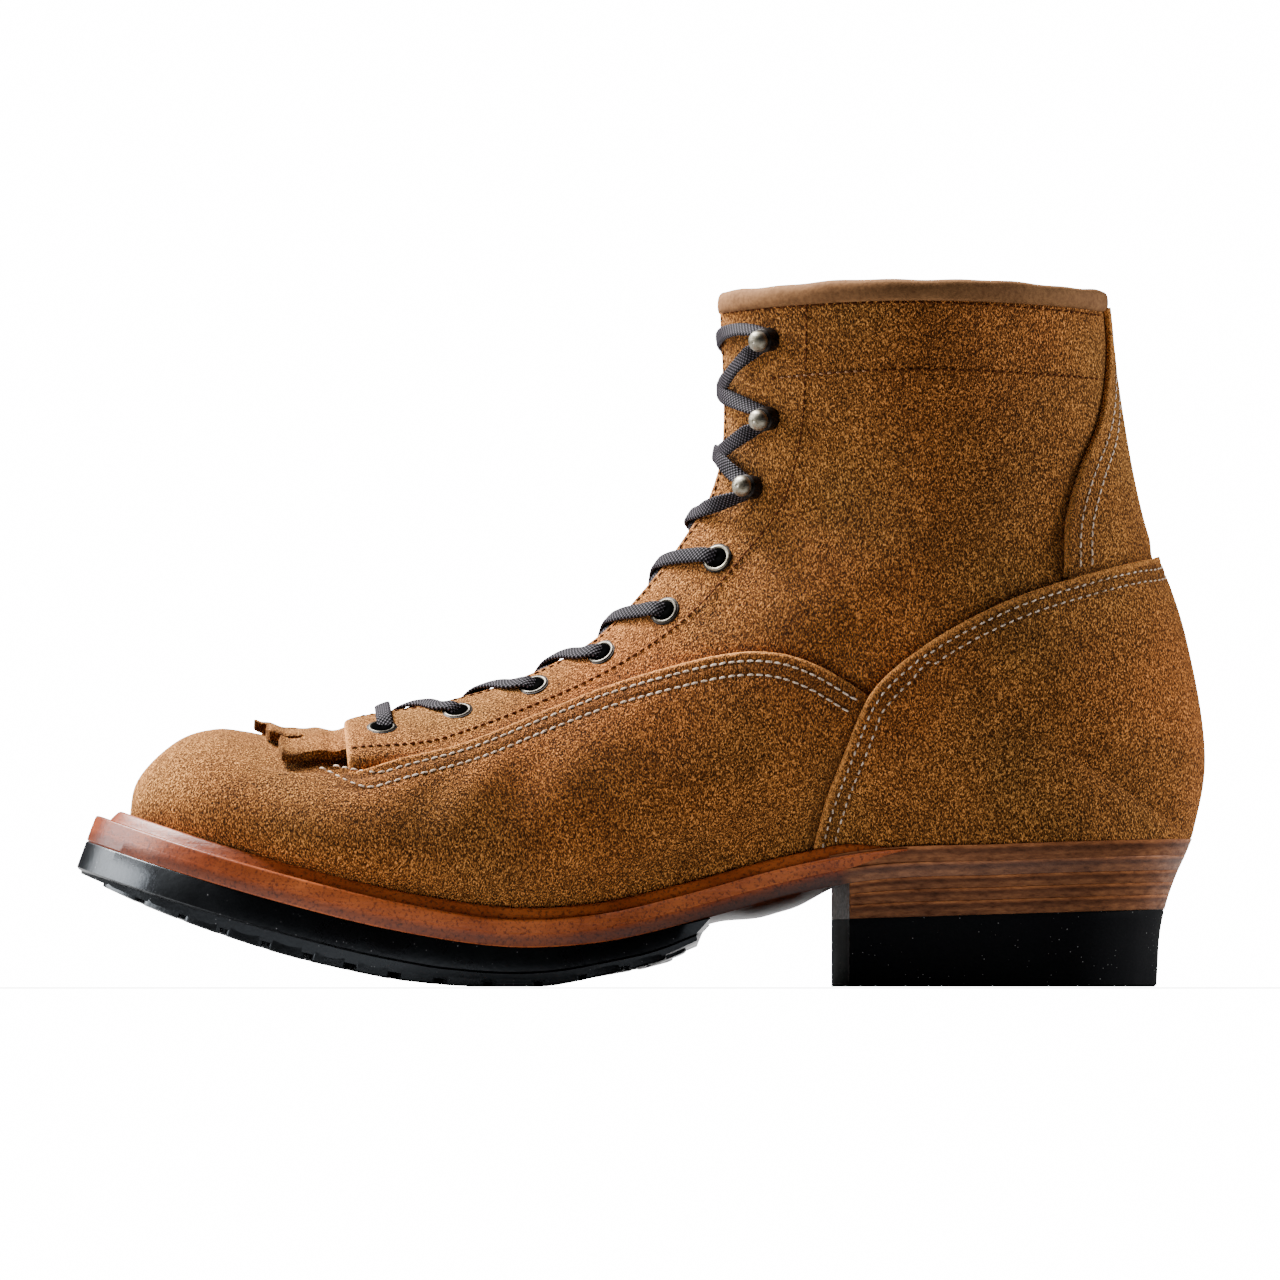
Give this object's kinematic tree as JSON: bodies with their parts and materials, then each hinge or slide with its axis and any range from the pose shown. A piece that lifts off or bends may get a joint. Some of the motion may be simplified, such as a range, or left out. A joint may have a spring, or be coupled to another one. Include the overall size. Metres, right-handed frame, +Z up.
{
  "type": "monkey boot",
  "caption": "Lace-to-toe ankle boot in rough-out leather with a fringed false tongue, eyelets and lace hooks, a storm welt, a stacked leather heel and a lugged rubber half sole.",
  "frame": {"origin": "on the floor, under the middle of the boot's bounding box", "axes": "+X towards the heel and -X towards the toe, +Y towards the outer side of the foot, +Z up"},
  "size_m": [0.3071, 0.1036, 0.1931],
  "materials": {
    "rough_out_leather": "brushed rough-out",
    "binding_leather": "smooth",
    "welt_leather": "burnished",
    "insole_leather": "natural",
    "black_rubber": "satin",
    "waxed_lace": "waxed",
    "antique_metal": "antique"
  },
  "bodies": {
    "root": {"upper": "rough_out_leather", "vamp": "rough_out_leather", "heel_counter": "rough_out_leather", "backstay": "rough_out_leather", "tongue": "rough_out_leather", "kiltie": "rough_out_leather", "collar_binding": "binding_leather", "insole": "insole_leather", "welt": "welt_leather", "heel_rand": "welt_leather", "midsole": "welt_leather", "heel_lift_1": "welt_leather", "heel_lift_2": "welt_leather", "heel_lift_3": "welt_leather", "heel_rubber": "black_rubber", "outsole": "black_rubber", "eyelet_medial_1": "antique_metal", "eyelet_medial_2": "antique_metal", "eyelet_medial_3": "antique_metal", "eyelet_medial_4": "antique_metal", "eyelet_medial_5": "antique_metal", "eyelet_medial_6": "antique_metal", "eyelet_lateral_1": "antique_metal", "eyelet_lateral_2": "antique_metal", "eyelet_lateral_3": "antique_metal", "eyelet_lateral_4": "antique_metal", "eyelet_lateral_5": "antique_metal", "eyelet_lateral_6": "antique_metal", "lace_hook_medial_1": "antique_metal", "lace_hook_medial_2": "antique_metal", "lace_hook_medial_3": "antique_metal", "lace_hook_lateral_1": "antique_metal", "lace_hook_lateral_2": "antique_metal", "lace_hook_lateral_3": "antique_metal", "lace_bar": "waxed_lace", "lace_crossing_1": "waxed_lace", "lace_crossing_2": "waxed_lace", "lace_crossing_3": "waxed_lace", "lace_crossing_4": "waxed_lace", "lace_crossing_5": "waxed_lace", "lace_crossing_6": "waxed_lace", "lace_crossing_7": "waxed_lace", "lace_crossing_8": "waxed_lace"}
  },
  "joints": []
}
